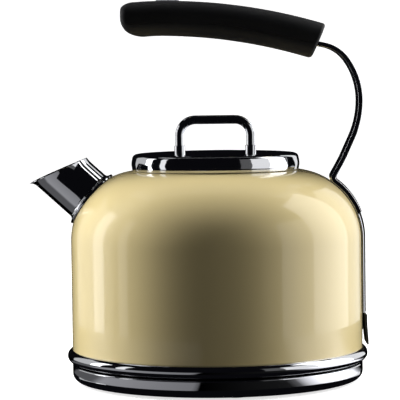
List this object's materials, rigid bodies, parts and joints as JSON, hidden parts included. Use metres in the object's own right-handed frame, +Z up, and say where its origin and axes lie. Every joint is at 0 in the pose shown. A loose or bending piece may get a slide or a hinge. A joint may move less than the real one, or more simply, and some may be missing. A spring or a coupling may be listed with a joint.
{
  "type": "electric kettle",
  "caption": "Round traditional-style electric kettle on a 360 degree power base, with a tube spout, lift-off lid and a strap handle arching over the body.",
  "frame": {"origin": "on the body's axis, at the underside of the centre foot, on the surface the base stands on", "axes": "+Z up, +X towards the handle strap and switch, -X towards the spout, +Y towards the cable outlet"},
  "size_m": [0.2257, 0.2026, 0.2568],
  "materials": {
    "enamel_cream": "glossy enamel",
    "chrome": "polished",
    "stainless": "brushed",
    "black_plastic": "fine satin",
    "soft_black": "soft touch matte",
    "pad_grey": "matte",
    "rubber": "matte",
    "silicone": "satin silicone",
    "brass": "bright",
    "aluminium": "cast",
    "control_plastic": "moulded",
    "zinc_steel": "zinc plated",
    "lead_sleeve": "heat resistant sleeve"
  },
  "bodies": {
    "base": {"base_trim_band": "chrome", "base_deck": "black_plastic", "base_floor": "black_plastic", "base_feet": "rubber", "base_screws": "zinc_steel", "connector_block": "control_plastic", "base_neutral_contact": "brass", "base_line_contact": "brass", "base_earth_contact": "brass", "cord_gland": "black_plastic"},
    "collar": {"glide_collar": "black_plastic"},
    "kettle": {"body_shell": "enamel_cream", "bead_ring": "chrome", "neck_ring": "stainless", "bottom_cover": "black_plastic", "cover_studs": "zinc_steel", "cover_screws": "zinc_steel", "spout": "chrome", "spout_gasket": "rubber", "element_plate": "stainless", "plate_seal": "silicone", "heat_spreader": "aluminium", "heating_element": "stainless", "element_terminals": "zinc_steel", "element_leads": "lead_sleeve", "control_body": "control_plastic", "dry_boil_bimetals": "brass", "kettle_connector": "control_plastic", "neutral_pin": "brass", "line_ring": "brass", "earth_ring": "brass", "steam_tube": "stainless", "steam_tube_grommet": "silicone", "steam_chamber": "control_plastic", "steam_bimetal": "brass", "rocker_pin": "zinc_steel", "switch_bezel": "black_plastic", "lever_pin": "zinc_steel", "handle_strap": "chrome", "handle_spine": "chrome", "spine_gasket": "rubber", "strap_backing_plate": "stainless", "strap_screws": "zinc_steel", "grip_lower": "soft_black", "grip_upper": "soft_black", "grip_screws": "zinc_steel", "thumb_pad": "pad_grey"},
    "lid": {"lid_cap": "chrome", "lid_plug": "stainless", "lid_seal": "silicone", "lid_handle": "chrome", "lid_ferrules": "chrome", "lid_nuts": "zinc_steel"},
    "filter": {"filter_frame": "black_plastic", "filter_mesh": "stainless"},
    "lever": {"switch_lever": "black_plastic"},
    "rocker": {"trip_rocker": "control_plastic"}
  },
  "joints": [
    {"name": "kettle_swivel", "type": "hinge", "parent": "base", "child": "collar", "pos_m": [0, 0, 0.0112], "axis": [0, 0, 1], "continuous": true},
    {"name": "kettle_lift", "type": "slide", "parent": "collar", "child": "kettle", "axis": [0, 0, 1], "range_m": [0, 0.06]},
    {"name": "lid_lift", "type": "slide", "parent": "kettle", "child": "lid", "axis": [0, 0, 1], "range_m": [0, 0.04]},
    {"name": "filter_slide", "type": "slide", "parent": "kettle", "child": "filter", "axis": [0.7373, 0, -0.6756], "range_m": [0, 0.025]},
    {"name": "switch_press", "type": "hinge", "parent": "kettle", "child": "lever", "pos_m": [0.092, 0, 0.04], "axis": [0, 1, 0], "range_deg": [0, 5]},
    {"name": "rocker_trip", "type": "hinge", "parent": "kettle", "child": "rocker", "pos_m": [0.06, 0, 0.03], "axis": [0, 1, 0], "range_deg": [-4.2, 0]}
  ],
  "couplings": [
    {"joint": "rocker_trip", "follows": "switch_press", "ratio": -0.83}
  ]
}
